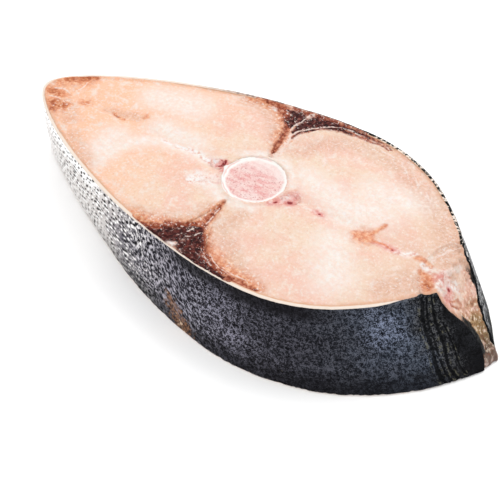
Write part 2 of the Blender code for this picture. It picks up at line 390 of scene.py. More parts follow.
def weigh(piece, name, weights):
    """Store weights from 0 to 1 as a vertex group, for a modifier's strength."""
    group = piece.vertex_groups.new(name=name)
    steps = np.round(np.clip(weights, 0, 1) * 50).astype(int)
    for step in range(1, 51):
        chosen = np.nonzero(steps == step)[0]
        if len(chosen):
            group.add(chosen.tolist(), step / 50, "REPLACE")


def press(piece, size, depth, **options):
    """Press clouds into the piece. Their size and depth are in millimetres."""
    texture = bpy.data.textures.new("relief", "CLOUDS")
    texture.noise_scale = size * MM
    modify(piece, "DISPLACE", texture=texture, strength=depth * MM, mid_level=0.5, **options)


def push(piece, group, depth, **options):
    """Move a vertex group outwards by some millimetres, or inwards where depth is negative."""
    modify(piece, "DISPLACE", vertex_group=group, strength=depth * MM, mid_level=0, **options)


def distance_to(piece, *nodes):
    """Distance of each vertex to the nearest of some CAD nodes, in millimetres."""
    graph = bpy.context.evaluated_depsgraph_get()
    found = np.full(len(piece.data.vertices), 1e9)
    for node in nodes:
        tree = BVHTree.FromObject(frame["nodes"][node], graph)
        away = [tree.find_nearest(v.co)[3] / MM for v in piece.data.vertices]
        found = np.minimum(found, away)
    return found


def rest_on_table(piece):
    """Flatten what the relief has pushed below the table, as S Z 0 does by hand."""
    only(piece)
    bpy.ops.object.mode_set(mode="EDIT")
    bpy.ops.mesh.select_mode(type="VERT")
    bpy.ops.mesh.select_all(action="DESELECT")
    shape = bmesh.from_edit_mesh(piece.data)
    for vertex in shape.verts:
        vertex.select_set(vertex.co.z < 0)
    bmesh.update_edit_mesh(piece.data)
    bpy.ops.transform.resize(value=(1, 1, 0), center_override=(0, 0, 0))
    bpy.ops.object.mode_set(mode="OBJECT")


def smooth(piece):
    only(piece)
    bpy.ops.object.shade_smooth()


# %% [markdown]
# Flesh is one soft solid: a knife has opened it, so its faces are a little uneven, domed
# over each block of muscle and sunk where blocks meet. Its copy is remeshed in coarser
# squares than the small pieces, and only the upper face, which shows most, is divided again.

# %% Flesh, remeshed
FLESH_VOXEL = 0.86
UPPER_BAND = 1.2 * MM


def choose_faces(piece, wanted):
    """In edit mode, select the faces for which wanted(face) is true."""
    bpy.ops.mesh.select_mode(type="FACE")
    bpy.ops.mesh.select_all(action="DESELECT")
    shape = bmesh.from_edit_mesh(piece.data)
    for facet in shape.faces:
        facet.select_set(bool(wanted(facet)))
    bmesh.update_edit_mesh(piece.data)
    return sum(facet.select for facet in shape.faces)


def upper_face(facet):
    return facet.calc_center_median().z > THICKNESS - UPPER_BAND


flesh = copy_of("flesh", "steak_flesh")
finer(flesh, FLESH_VOXEL)
bpy.ops.object.mode_set(mode="EDIT")
print("upper face:", choose_faces(flesh, upper_face))
bpy.ops.mesh.subdivide(number_cuts=1)
bpy.ops.object.mode_set(mode="OBJECT")
smooth(flesh)
print("flesh faces:", len(flesh.data.polygons))

# %% [markdown]
# A cut face is a map of the fish. White membranes part the blocks of muscle and wrap the
# backbone, orange and rusty stains lie where fat and dark muscle touch the white flesh, and
# red points mark vessels. Painting by hand would work, but each mark runs through the slice
# and over the seams between pieces, and both faces and the walls have to agree. So the marks
# are strokes on the cut plane: points in millimetres with a half width each. How far a
# vertex is from the nearest stroke of a kind, in half widths, decides relief and colour. The
# noise that bends the strokes has a fixed seed, so the slice is the same at every run.

# %% Marks in the flesh
# Pale areas: pale fat round the backbone and along the vessel, and painted light on the domed
# blocks of flesh.
PALE_AND_LIT = [
    [(-33, -1.6, 2.6), (-37.5, -4.4, 2.8), (-41.6, -8.6, 2.8), (-43.8, -14, 2.6), (-44, -21, 2.0)],
    [(-48, 14, 5), (-35, 17, 6)],
    [(-38, 3, 4), (-24, 3, 4)],
    [(-47, -9, 5), (-46, -15, 5)],
    [(13, 10, 4), (30, 5, 6), (38, 9, 6)],
    [(34, 15, 6), (46, 19, 5)],
    [(33, -9, 5), (40, -20, 6)],
    [(29, 0.4, 1.6), (35, 1.6, 2.0)],
    [(-15, -0.6, 2.2), (-24, -0.5, 2.5), (-33, -1.6, 2.8)],
    [(-7, -10.5, 2.2), (-11, -8, 2.8), (-15, -9.5, 2.2)],
    [(-9, -9.6, 1.4), (-4, -12, 1.8), (3, -12.2, 1.6), (7, -10.5, 1.2)],
    [(-9, 7.6, 1.2), (-3, 11, 1.5), (3, 11.4, 1.5), (8, 8.6, 1.3), (11.4, 3.6, 1.0)],
]
# Painted shade, greyish brown, where the domed blocks of flesh fall away to the rim and beside the
# dark muscle.
SHADE = [
    [(20, 33, 3.2), (32, 30.5, 3.6), (44, 25, 3.6), (54, 18, 3.8), (61, 10, 3.4), (65, 3, 3)],
    [(60, -9, 4), (54, -16, 3)],
    [(-70, -6, 4), (-64, -10, 3)],
    [(-58, -16, 3), (-46, -23, 2.5)],
    [(-57, 0, 1.4), (-46, 3.5, 1.4)],
    [(5, -15, 2.5), (4, -23, 3.5), (14, -31, 3), (26, -34.5, 2)],
    [(-4, -17, 2.2), (-6, -23.5, 2.6), (-14, -29, 2.4), (-24, -30.5, 1.8)],
    [(-6, 19, 2.2), (-9, 26, 3.2), (-16, 29.5, 3), (-24, 29.5, 2)],
    [(4, 17, 2.5), (6.5, 22, 3.5), (12, 29, 3.5), (20, 31, 3), (30, 30.5, 3)],
]
PINK = [
    [(9.5, -6.5, 0.9), (11.5, -3.6, 1.9), (13.5, -1.8, 2.4), (14.2, 1.2, 1.5)],
    [(-16.4, -0.4, 1.0), (-13.4, -0.8, 1.5), (-11.2, 0.2, 1.6), (-9.8, -2.6, 1.0)],
    [(43.5, -2.2, 0.9), (47, -1.5, 1.3), (50.5, -1.2, 1.1)],
    [(22.8, -0.9, 1.2), (25, -1.4, 1.2)],
    [(63.6, -4.4, 1.4), (66.2, -2.2, 1.8), (68.4, -3.8, 1.8), (69.4, -6.2, 1.6)],
    # Painted wet glints, pinkish white, below and left of the blood vessel.
    [(-12.6, -8.2, 1.0), (-9, -6.4, 1.2)],
]
ORANGE = [
    [(-78.6, -2.6, 1.3), (-77.6, -1.9, 1.6), (-74, -2.2, 1.4)],
    [(-78.6, 2.4, 1.2), (-77.2, 4.8, 1.9), (-74.3, 6.4, 2.2), (-72.6, 8.6, 2.4),
     (-70.8, 10.8, 1.5)],
    [(-75, -6.5, 1.2), (-72.3, -6.6, 1.8), (-69.3, -6.2, 1.2)],
    [(-65.2, -1.2, 1.2)],
    [(-53.9, 0.2, 0.4), (-52.1, -0.1, 0.45), (-50, -0.1, 0.3)],
    [(-44.5, 4.4, 0.6)],
    [(37.4, -2.3, 1.2), (39.9, -1.8, 1.9), (41.4, -2.6, 1.2)],
    [(41, -2, 0.4), (46, -1.3, 0.25), (49, -1.6, 0.3)],
    [(40.8, -0.4, 0.55), (41.6, 3.0, 0.6), (42.4, 5.4, 0.5)],
    [(56.4, -0.7, 0.6), (58.3, -0.3, 0.6), (61, -0.9, 0.5)],
    [(59.4, -3.6, 0.7), (61.8, -4.9, 1.0), (63.4, -6.8, 1.4), (63.6, -8.2, 1.3)],
    [(-1.6, 13, 0.9), (-2.6, 17, 1.2), (-4, 21.5, 1.5), (-5.4, 26.5, 1.8), (-8.5, 30, 1.6),
     (-13, 32.6, 1.3), (-22, 31.8, 1.2)],
    [(-2, -13.4, 0.7), (-1.9, -17.5, 1.3), (-2.2, -22.2, 1.4), (-5.2, -26, 1.4), (-9, -28.8, 1.4),
     (-14, -31.6, 1.4), (-22, -32.2, 1.2)],
    [(0.4, -25.5, 1.0), (3.2, -29, 1.3), (6.5, -32.2, 1.5), (12, -34.5, 1.8), (24, -35.8, 1.4)],
]
TAN = [
    [(-78.9, -2.9, 0.6), (-77.6, -2.3, 0.9), (-75.4, -2.3, 0.7)],
    [(-74.4, -7.0, 0.8), (-72.4, -6.9, 1.1), (-70.6, -6.3, 0.8)],
    [(-71.8, -9.1, 0.5)],
    [(-76.6, 5.4, 0.9)],
    [(-73.4, 7.8, 0.8), (-72.2, 9.6, 1.0), (-70.9, 11.2, 0.8)],
    [(-53.6, 0.1, 0.3), (-52.4, 0, 0.35)],
    [(63.4, -7.2, 0.9), (63.6, -8.2, 0.9)],
    [(69.9, -5.0, 0.16), (70.4, -3.4, 0.18), (70.9, -1.8, 0.2), (71.8, -1.2, 0.2),
     (72.1, -2.2, 0.2), (71.6, -3.8, 0.22), (70.9, -5.2, 0.2), (69.9, -5.0, 0.16)],
]
RUST = [
    [(-1.9, 12.8, 0.5), (-2.3, 15.4, 0.7), (-3.5, 19.9, 0.8), (-4.5, 23.5, 0.9), (-5.5, 26.6, 1.0),
     (-6.6, 28.8, 1.1), (-8.4, 30.6, 1.2), (-11, 32.6, 1.5), (-15.9, 33.8, 1.3), (-23, 33, 0.7)],
    [(-1.2, 23, 0.6), (0, 26, 0.7), (1.5, 28.8, 0.7), (4, 31.3, 0.7), (6.6, 33.2, 0.8),
     (10, 34.6, 0.9), (16, 35.2, 0.8), (23, 35.2, 0.4), (27, 34.6, 0.2)],
    [(-8, 35.2, 0.9), (-3, 35.8, 1.3), (3, 36.6, 1.4), (10, 37, 1.4), (18, 37, 0.9),
     (24, 36.2, 0.4), (28, 35.3, 0.2)],
    [(-1.7, -15, 0.5), (-1.7, -18.5, 0.7), (-1.8, -22.5, 0.9), (-1.8, -26, 1.4)],
    [(-2.6, -19.4, 0.4), (-2.8, -22.1, 0.6), (-3.8, -24.5, 0.8), (-6, -26.9, 1.0), (-9, -29, 1.1),
     (-11.7, -31.4, 1.2), (-14, -32.8, 1.0), (-17, -33.4, 0.8), (-22, -33, 0.5)],
    [(0.8, -27.4, 0.6), (3.2, -30.4, 0.8), (5.5, -33.4, 1.0), (8.5, -35.3, 1.5), (14, -36.6, 1.3),
     (19, -36.9, 1.0), (25, -36.2, 0.6)],
]
DARK = [
    [(-4.9, 27.6, 0.9), (-5.4, 30.2, 2.0), (-5.0, 32.4, 2.2), (-7.4, 33, 0.8), (-9.5, 33.2, 0.3)],
    [(-2, 25.4, 0.6), (-1.5, 28.4, 1.3), (-0.4, 31.2, 2.0), (1.2, 33.2, 2.2), (4.2, 34.6, 1.4),
     (8, 35.6, 0.9), (13, 36.1, 0.6), (19, 36.4, 0.4)],
    [(-1.2, 22.4, 0.15), (-0.1, 25.9, 0.25), (1.4, 28.7, 0.3), (4, 31.2, 0.3), (6.6, 33, 0.3),
     (9.4, 34.2, 0.25), (14, 34.8, 0.15)],
    [(-1.7, -25.8, 1.0), (-4.1, -28.7, 2.3), (-5.9, -31.6, 3.3), (-7.4, -33.4, 2.7),
     (-10.5, -33.9, 1.6), (-13.8, -34.3, 0.9)],
    [(-0.9, -26.8, 1.1), (-0.3, -30, 2.5), (0.2, -33, 3.6), (2, -35.4, 3.1), (5.4, -36.9, 2.0),
     (9.4, -37.4, 1.4), (15, -37.8, 0.8)],
]
PALE = [
    [(-14.8, -0.6, 0.9), (-18, -0.4, 0.7), (-23.7, -0.5, 0.55), (-29.5, -1, 0.4),
     (-34, -1.8, 0.25)],
    [(12.5, -1.1, 1.0)],
    [(-13.1, -1.3, 0.6)],
    [(51, -1.8, 0.7), (53, -0.8, 0.9), (55, 0.7, 0.5)],
    [(58.8, -1.9, 0.7), (60.4, -2.0, 0.9), (61.6, -2.3, 0.6)],
    [(65.6, -4.4, 0.7), (66.4, -6.4, 0.7)],
    [(67.8, -1.4, 0.6), (69.4, 0.4, 0.8)],
    # Painted wet glints, pinkish white, below and left of the blood vessel.
    [(-16.0, -11, 1.1), (-13.4, -8.7, 1.9), (-10.4, -7.2, 1.3)],
    [(-5.2, -36.8, 1.0), (-4.2, -35.4, 0.6), (-3.7, -34.2, 0.25)],
    # A small cluster of painted highlights beside the far dark muscle.
    [(-13.6, 31.4, 0.35), (-12.2, 30.9, 0.35)],
]
MEMBRANE = [
    [(-0.7, 12, 0.9), (-0.2, 13.9, 0.8), (-0.8, 17.7, 0.75), (-1.6, 21.4, 0.6), (-2.6, 24.4, 0.4)],
    [(-3.4, 25.2, 0.3), (-4, 27, 0.22), (-3.5, 29, 0.22), (-2.8, 32.3, 0.22), (-2, 34.8, 0.25),
     (-0.6, 35.3, 0.3)],
    [(-2, 22.6, 0.35), (-1.4, 24.8, 0.3), (0.2, 27.7, 0.26), (2.3, 30.8, 0.26), (4.5, 33.1, 0.26),
     (7.3, 34.4, 0.26), (11, 35.3, 0.26), (18, 35.8, 0.2)],
    [(-4.2, 29, 0.15), (-6, 31.6, 0.15)],
    [(-1.6, -16, 0.2), (-1.1, -19.5, 0.2), (-1.3, -23, 0.2)],
    [(3, -31.4, 0.15), (6.2, -33.8, 0.2), (9.5, -35.2, 0.15)],
    [(7, -32.6, 0.18), (11, -34.6, 0.2), (16, -35.6, 0.15)],
    [(12, -34, 0.15), (17, -34.9, 0.18), (22, -35.2, 0.15)],
    [(-1, -27.2, 0.3), (-1.6, -28.6, 0.3)],
    [(-3.2, -26.8, 0.3), (-4.4, -28, 0.25)],
    [(-2.4, -29.4, 0.3), (-3.6, -30.4, 0.2)],
    [(16.5, -1, 0.4), (21, -1, 0.4)],
    [(61.4, -1.9, 0.4), (63.2, -1.4, 0.5), (65.3, -1.2, 0.5), (66.6, 1.5, 0.5), (67.6, 5.6, 0.5)],
    [(66, -1.4, 0.5), (67.6, -3.6, 0.6), (67.4, -7.6, 0.6)],
    [(60.2, 1, 0.25), (60.7, 4, 0.3), (62.2, 7.6, 0.3), (64.6, 9.9, 0.25)],
    [(13, 20.5, 0.6), (14, 17, 0.5)],
    [(24, 33.4, 0.2), (28, 33.2, 0.3), (31, 31.6, 0.2)],
    [(33, 32, 0.25), (36, 29.8, 0.3), (38.4, 26.8, 0.2)],
    [(39, 29.6, 0.2), (42.2, 26.4, 0.3), (42.6, 23.6, 0.2)],
    [(46, 24.6, 0.2), (49, 20.6, 0.25)],
    # Painted wet glints, pinkish white, below and left of the blood vessel.
    [(-12.4, -7.6, 1.5), (-8.6, -6, 0.9)],
    [(-78, -0.8, 0.25), (-75.4, 0.6, 0.3), (-72.6, 0.2, 0.2)],
    [(-77.4, -4.8, 0.2), (-74, -4.2, 0.25), (-71, -4.9, 0.2)],
    [(-71.6, 2, 0.2), (-70.4, 4.4, 0.3), (-70.8, 7, 0.2)],
    [(-68, -6.6, 0.2), (-65.6, -5, 0.25)],
    [(-66, -1.4, 0.2), (-63, -1.2, 0.2)],
]
BLOOD = [
    [(14.8, -2.3, 0.6)],
    [(10.6, -5.4, 0.25), (11.2, -4.6, 0.3)],
    [(-11.8, 2.2, 0.25), (-11.5, 0.6, 0.5), (-11.7, -0.8, 0.5), (-12.6, -1.8, 0.3)],
    [(-12.7, 1.2, 0.25)],
    [(24.4, -1.2, 0.45)],
    [(49, -1.6, 0.35)],
    [(68.2, -2.5, 0.4)],
]
MARKS = dict(pale_and_lit=PALE_AND_LIT, shade=SHADE, pink=PINK, orange=ORANGE, tan=TAN, rust=RUST,
             dark=DARK, pale=PALE, membrane=MEMBRANE, blood=BLOOD)


def widths_from(points, strokes):
    """How far each point is from the nearest stroke, counted in the stroke's half width."""
    found = np.full(len(points), 9.0)
    for stroke in strokes:
        for start, end in zip(stroke, stroke[1:] or stroke):
            (ax, ay, aw), (bx, by, bw) = start, end
            run = np.array((bx - ax, by - ay))
            away = points[:, :2] - (ax, ay)
            share = np.clip(away @ run / max(run @ run, 1e-9), 0, 1)
            gap = np.hypot(*(away - share[:, None] * run).T)
            found = np.minimum(found, gap / (aw + (bw - aw) * share))
    return found


NOISE_SEED = 3
noise.seed_set(NOISE_SEED)


def wander(spots):
    """Points moved a little by smooth noise, so that no stroke stays straight or even."""
    moved = spots.copy()
    for row, (x, y, z) in enumerate(spots):
        wide = noise.noise_vector((x / 5, y / 5, z / 15))
        tight = noise.noise_vector((x / 1.6, y / 1.6, z / 8 + 40))
        moved[row, 0] += 0.7 * wide.x + 0.35 * tight.x
        moved[row, 1] += 0.7 * wide.y + 0.35 * tight.y
    return moved


def mark(piece):
    """Store on every vertex how near it is to each kind of mark, and to the skin."""
    spots = wander(places(piece))
    for name, strokes in MARKS.items():
        store(piece, name, widths_from(spots, strokes))
    store(piece, "to_skin", distance_to(piece, "skin"))


print("strokes:", {name: len(strokes) for name, strokes in MARKS.items()})

# %% [markdown]
# Relief on the cut: membranes stand up as fine ridges, vessels are small holes, the whole
# face is gently uneven, and the dark muscle is crumbly where the blade has dragged along it.
# A Displace modifier with clouds gives each kind, and a vertex group says where it acts.
# Along its seams each piece also swells a little, so that no dark gap shows there. The
# distances to the marks are stored after that, so that a stain runs on over a seam.

# %% Flesh, relief
FACE_START = 12.2
SEAM_REACH = 1.9
MUSCLE_GROW = 0.80
CUT_MARKS = dict(ridge=(MEMBRANE, 1.3), hole=(BLOOD, 1.2), torn=(DARK, 2.0))
INNER_NODES = ("dark_muscle_near", "dark_muscle_far", "fin_slot_tissue", "spinal_cord",
               "blood_vessel", "backbone")


def press_cut(piece, grow, *neighbours):
    """The same relief on every piece of the cut, so that neighbours meet at one height."""
    spots = places(piece)
    normals = np.zeros(len(spots) * 3, np.float32)
    piece.data.vertices.foreach_get("normal", normals)
    steep = 1 - np.abs(normals.reshape(-1, 3)[:, 2])
    above_middle = spots[:, 2] - THICKNESS_MM / 2
    face = np.clip(np.abs(above_middle) - FACE_START, 0, 1)
    seam = np.clip(SEAM_REACH - distance_to(piece, *neighbours), 0, 1)
    weigh(piece, "seam", seam * np.clip(steep * 2, 0, 1))
    weigh(piece, "lip", seam * np.clip(steep * 4, 0, 1) * (above_middle > FACE_START))
    weigh(piece, "face", face)
    spots = wander(spots)
    for group, (strokes, reach) in CUT_MARKS.items():
        weigh(piece, group, np.clip(reach - widths_from(spots, strokes), 0, 1) * face)
    push(piece, "seam", grow)
    push(piece, "lip", 0.35, direction="Z")
    push(piece, "ridge", 0.15)
    push(piece, "hole", -0.25)
    press(piece, 5.0, 0.35, vertex_group="face")
    press(piece, 1.8, 0.16, vertex_group="face")
    press(piece, 1.2, 0.60, vertex_group="torn")
    press(piece, 0.7, 0.25, vertex_group="torn")
    rest_on_table(piece)


press_cut(flesh, MUSCLE_GROW, "skin", *INNER_NODES)
mark(flesh)
print("flesh box in mm:", [round(x / MM, 1) for x in flesh.dimensions])

# %% [markdown]
# Raw white fish is cream with a peach tint, warmer at the belly and browner at the back, and
# light goes into it before it comes back, so it gets some subsurface scattering. Each kind of
# mark is then one soft layer of colour over the last, with an edge that noise moves: pale
# areas, partly pale fat and partly painted light, painted shade, pink, orange, tan and rust,
# the dark muscle with its clots, white flecks that are partly fat and partly painted glints,
# and on top white membranes and blood. The other pieces of the cut are painted by the same
# function, so a stain runs on over the seam between two pieces.

# %% Flesh, finish
# The first layer is partly pale fat and partly painted light; the second is painted shade.
LAYERS = {
    "pale_and_lit": dict(soft=(1.9, 0.1), sway=0.5, most=0.90, tones=("FFE8DB", "FFF0E6", "FFFAF5")),
    "shade": dict(soft=(1.9, 0.1), sway=0.5, most=0.50, tones=("D9A488", "E6B39A", "F6D2BE")),
    "pink": dict(soft=(2.0, 0.3), sway=0.9, most=0.70, tones=("DD7F7C", "EFA29C", "FFDCD6")),
    "orange": dict(soft=(3.0, 0.2), sway=1.0, most=0.85, tones=("D67848", "EE9869", "FFC8A1")),
    "tan": dict(soft=(2.8, 0.2), sway=1.0, most=0.85, tones=("A44C2A", "C87042", "EAA278")),
    "rust": dict(soft=(1.9, 0.5), sway=1.3, most=0.90, tones=("6E2417", "A84F35", "E09A7A")),
}


def meat(coat):
    """Paint the cut: raw flesh, with every mark that the vertices have stored."""
    coat.light = CUT_LIGHT
    large = coat.noise(11.0, 3.0)
    medium = coat.noise(2.6, 4.0, 0.6)
    fine = coat.noise(0.75, 3.0, 0.65)
    grain = coat.noise(0.40, 3.0, 0.75)
    clot = coat.noise(1.15, 3.0, 0.6)
    swing = coat.plus(coat.sway(medium, 0.7), coat.sway(fine, 0.35))

    def near(mark, sway):
        """Distance to a kind of mark, in half widths, with an edge that noise moves."""
        return coat.times_plus(swing, sway, coat.read(mark))

    coat.colour = coat.mixed((large, 0.35, 0.65), "FBDFC8", "FCD0BE")
    coat.lay((coat.x, -5, -58), paint("FFCBAB", 1.45))
    coat.lay((coat.x, 40, 66), "F3CDB6")
    coat.lay((medium, 0.48, 0.72), "FDE9DC")
    coat.lay((fine, 0.54, 0.68), "FFF1E8", 0.8)
    coat.lay((fine, 0.46, 0.30), "F2C1A6", 0.6)
    near_skin = coat.ragged(coat.read("to_skin"), medium, 0.9)
    coat.lay((near_skin, 1.6, 0.2), "E8A880", 0.45)
    for name, layer in LAYERS.items():
        tone = coat.ramp(clot, list(zip((0.38, 0.5, 0.66), layer["tones"])))
        coat.lay((near(name, layer["sway"]), *layer["soft"]), tone, layer["most"])

    muscle = coat.ramp(coat.ragged(clot, grain, 0.12), [
        (0.34, "240808"), (0.45, "3C1412"), (0.55, "5A2622"), (0.64, "7A3C34"), (0.76, "B47C6E"),
    ])
    away = near("dark", 1.2)
    coat.lay((away, 2.2, 1.0), "8A3420", 0.6)
    coat.lay((away, 1.35, 0.9), muscle)
    dark = coat.read("dark")
    near_dark = coat.where((dark, 3.5, 1.5), (dark, 0.4, 1.1))
    near_dark = coat.larger(near_dark, coat.fade(coat.read("shade"), 1.3, 0.6))
    # White flecks near the dark muscle and along the shaded rim: partly specks of fat, partly
    # painted glints. The glint after them is a painted highlight on the wet dark muscle.
    fleck_and_glint = coat.times(coat.fade(coat.noise(0.8, 3.0, 0.65), 0.585, 0.63), near_dark)
    coat.lay(fleck_and_glint, "FFF3EC", 0.75)
    glint = coat.where((coat.noise(0.9, 3.0, 0.65), 0.615, 0.66), (dark, 1.3, 0.9))
    coat.lay(glint, "F6DDD4", 0.6)

    tone = coat.ramp(clot, [(0.38, "EDB8AA"), (0.47, "FDE6DC"), (0.56, "FFFCFA")])
    coat.lay((near("pale", 1.6), 2.4, 0.2), tone, 0.9)
    strand = coat.where((near("membrane", 1.0), 1.6, 0.7), (fine, 0.36, 0.52))
    coat.lay(strand, "FFEBE1", 0.8)
    away = near("blood", 0.8)
    coat.lay((away, 4.0, 1.0), "EC8C86", 0.6)
    coat.lay((away, 1.6, 0.8), "97262A", 0.95)
    coat.relief = coat.bump(fine, 0.16, coat.bump(grain, 0.12))
    coat.wet = coat.add("MapRange", {"Value": medium, "To Min": 0.28, "To Max": 0.50}).outputs[0]


def close_meat(coat, gloss=0.12, depth=1.2):
    """Close a finish of the cut with what raw flesh needs: soft inside and wet outside."""
    return coat.close(
        coat.colour, coat.wet, coat.relief, Subsurface_Weight=0.20, Subsurface_Scale=depth * MM,
        Subsurface_Radius=(1.0, 0.45, 0.28), Specular_IOR_Level=gloss,
    )


coat = Finish("raw_flesh")
meat(coat)
flesh.data.materials.append(close_meat(coat))
print("flesh nodes:", len(coat.tree.nodes))

# %% [markdown]
# The backbone is a short round bone that runs through the slice: spongy pink bone inside a
# ring of hard white bone, which stands a little proud because the knife skips over it. As
# by hand, it starts as a cylinder. Each end is inset to mark the ring, the disc is pushed
# in, the disc is divided for its pores, and a Bevel rounds the ring.

# %% Backbone
BONE_RADIUS = 11.2 * MM
BONE_RING = 2.3 * MM
BONE_DROP = 0.25 * MM
BONE_SIDES = 160
BONE_INSETS = 9
BONE_VOXEL = 0.34


def round_piece(name, centre, radius, bottom, top, sides):
    """A cylinder primitive, standing upright, with its place in its mesh."""
    bpy.ops.object.select_all(action="DESELECT")
    middle = (centre[0], centre[1], (bottom + top) / 2)
    bpy.ops.mesh.primitive_cylinder_add(
        vertices=sides, radius=radius, depth=top - bottom, location=middle
    )
    bpy.ops.object.transform_apply(location=True, rotation=True, scale=True)
    piece = bpy.context.object
    piece.name = name
    return piece


def ends(facet):
    return abs(facet.normal.z) > 0.9


low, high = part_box("backbone")
backbone = round_piece("steak_backbone", (0, 0), BONE_RADIUS, low.z, high.z, BONE_SIDES)
bpy.ops.object.mode_set(mode="EDIT")
choose_faces(backbone, ends)
bpy.ops.mesh.inset(thickness=0.5 * BONE_RING, depth=0.0, use_individual=True)
bpy.ops.mesh.inset(thickness=0.3 * BONE_RING, depth=0.0, use_individual=True)
bpy.ops.mesh.inset(thickness=0.2 * BONE_RING, depth=-BONE_DROP, use_individual=True)
for ring in range(BONE_INSETS):
    bpy.ops.mesh.inset(thickness=0.85 * MM, depth=0.0, use_individual=True)
bpy.ops.mesh.poke()
bpy.ops.object.mode_set(mode="OBJECT")
modify(backbone, "BEVEL", width=0.5 * MM, segments=3, limit_method="ANGLE")
print("backbone faces:", len(backbone.data.polygons))

# %% [markdown]
# Spongy bone is full of pores in slanting rows, and the ring round it is smooth and white.
# The plain cylinder is rebuilt from small squares, and clouds press the pores into its disc
# alone. Each vertex stores its distance from the middle, which tells disc and ring apart.

# %% Backbone, relief and finish
finer(backbone, BONE_VOXEL)
spots = places(backbone)
radial = np.hypot(spots[:, 0], spots[:, 1])
store(backbone, "radial", radial)
weigh(backbone, "spongy", np.clip(9.0 - radial, 0, 1))
press(backbone, 0.9, 0.22, vertex_group="spongy")
press(backbone, 3.0, 0.25)
rest_on_table(backbone)
smooth(backbone)

coat = Finish("spongy_bone")
radial = coat.ragged(coat.read("radial"), coat.noise(2.5), 0.6)
radial = coat.times_plus(coat.x, -0.035, radial)
pores = coat.noise(0.5, 3.0, 0.7)
streak = coat.stretched(1.6, (0.30, 1.0, 0.30), (0, 0, math.radians(-33)), 3.0)
coat.colour = coat.mixed((streak, 0.38, 0.62), "F3AFAA", "FBD6CF")
coat.lay((coat.noise(4.0, 2.0), 0.45, 0.7), "FFE9E4", 0.8)
coat.lay((pores, 0.46, 0.32), "CE8280")
coat.lay((pores, 0.57, 0.68), "FFF2EE")
coat.lay((coat.y, 1.0, 8.0), "FFF1EC", 0.65)
coat.lay((radial, 8.2, 9.3), paint("FFFCF8", 1.48))
rose = coat.where((radial, 9.4, 9.7), (radial, 10.2, 9.8), (coat.noise(4.0), 0.42, 0.56))
coat.lay(rose, "F4BCB4", 0.7)
coat.lay((radial, 10.2, 11.8), "FEEADD")
material = coat.close(
    coat.colour, 0.38, coat.bump(pores, 0.15), Subsurface_Weight=0.2, Subsurface_Scale=1.2 * MM,
    Subsurface_Radius=(1.0, 0.6, 0.5), IOR=1.42,
)
backbone.data.materials.append(material)
print("bone finish nodes:", len(coat.tree.nodes))

# %% [markdown]
# Two canals run beside the backbone: on its back side the spinal cord, white in a red
# sheath, and on its belly side a blood vessel, red with a pale core. Both are soft tubes
# that the cut has torn open. Each starts as a cylinder with its ends raised a little by an
# inset. A remesh gives it small even squares for the same strokes and relief as the flesh.

# %% Spinal cord and blood vessel
CANALS = {
    "spinal_cord": dict(centre=(13.7, -0.6), radius=2.6),
    "blood_vessel": dict(centre=(-13.0, -0.6), radius=2.1),
}
CANAL_SIDES = 48
CANAL_INSETS = 5
CANAL_VOXEL = 0.26
CANAL_GROW = 0.20

canals = {}
for node, canal in CANALS.items():
    low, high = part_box(node)
    spot = [value * MM for value in canal["centre"]]
    radius = canal["radius"] * MM
    piece = round_piece("steak_" + node, spot, radius, low.z, high.z, CANAL_SIDES)
    bpy.ops.object.mode_set(mode="EDIT")
    choose_faces(piece, ends)
    bpy.ops.mesh.inset(thickness=0.12 * radius, depth=0.12 * MM, use_individual=True)
    for ring in range(CANAL_INSETS):
        bpy.ops.mesh.inset(thickness=0.15 * radius, depth=0.0, use_individual=True)
    bpy.ops.mesh.poke()
    bpy.ops.object.mode_set(mode="OBJECT")
    finer(piece, CANAL_VOXEL)
    press_cut(piece, CANAL_GROW, "flesh")
    press(piece, 1.1, 0.5)
    rest_on_table(piece)
    mark(piece)
    smooth(piece)
    canals[node] = piece

coat = Finish("open_canal")
meat(coat)
coat.lay((coat.noise(0.9, 3.0), 0.45, 0.6), "F3B2AC", 0.5)
material = close_meat(coat)
for piece in canals.values():
    piece.data.materials.append(material)
print("canals:", ", ".join(canals))

# %% [markdown]
# Dark muscle works all day and is full of blood, so it is nearly black-red. On the cut it
# forms two lobes at each flank with thin tails along the skin, and a rough, crumbly face. A
# copy of the node is remeshed finely. Its strokes, relief and colours are the flesh's own.

# %% Dark muscle
MUSCLE_VOXEL = 0.36

dark_pieces = {}
for side in ("near", "far"):
    node = "dark_muscle_" + side
    piece = copy_of(node, "steak_" + node)
    finer(piece, MUSCLE_VOXEL)
    press_cut(piece, MUSCLE_GROW, "flesh", "skin")
    mark(piece)
    smooth(piece)
    dark_pieces[node] = piece
    print(piece.name, "faces:", len(piece.data.polygons))

coat = Finish("dark_muscle")
meat(coat)
material = close_meat(coat, gloss=0.08, depth=0.5)
for piece in dark_pieces.values():
    piece.data.materials.append(material)

# %% [markdown]
# The skin is a thin tough band, 1.2 mm thick, with small scales. It is silver white at the
# belly, slate along the side and nearly black at the back. Modelling each scale is too much
# for a sheet of this size, so the copy of the node is subdivided into a fine band, and a
# pattern of scale pits is laid over it by numbers that each vertex stores: how far it is
# along the flank, how high, and how near to a pit. Relief and colour read the same numbers.

# %% Skin, a fine band
BELLY_TIP_X = (-83.8, -82.6)
CUT_LENGTH = (167.7, 150.0)
WALL_DEPTH = 0.9


def lean(z, base, top):
    """A length that changes in a straight line from the underside to the upper face."""
    return base + (top - base) * z / THICKNESS_MM


def flank_share(spots):
    """Share of the slice's length at each point, from the belly tip to the back."""
    start = lean(spots[:, 2], *BELLY_TIP_X)
    return np.clip((spots[:, 0] - start) / lean(spots[:, 2], *CUT_LENGTH), 0, 1)


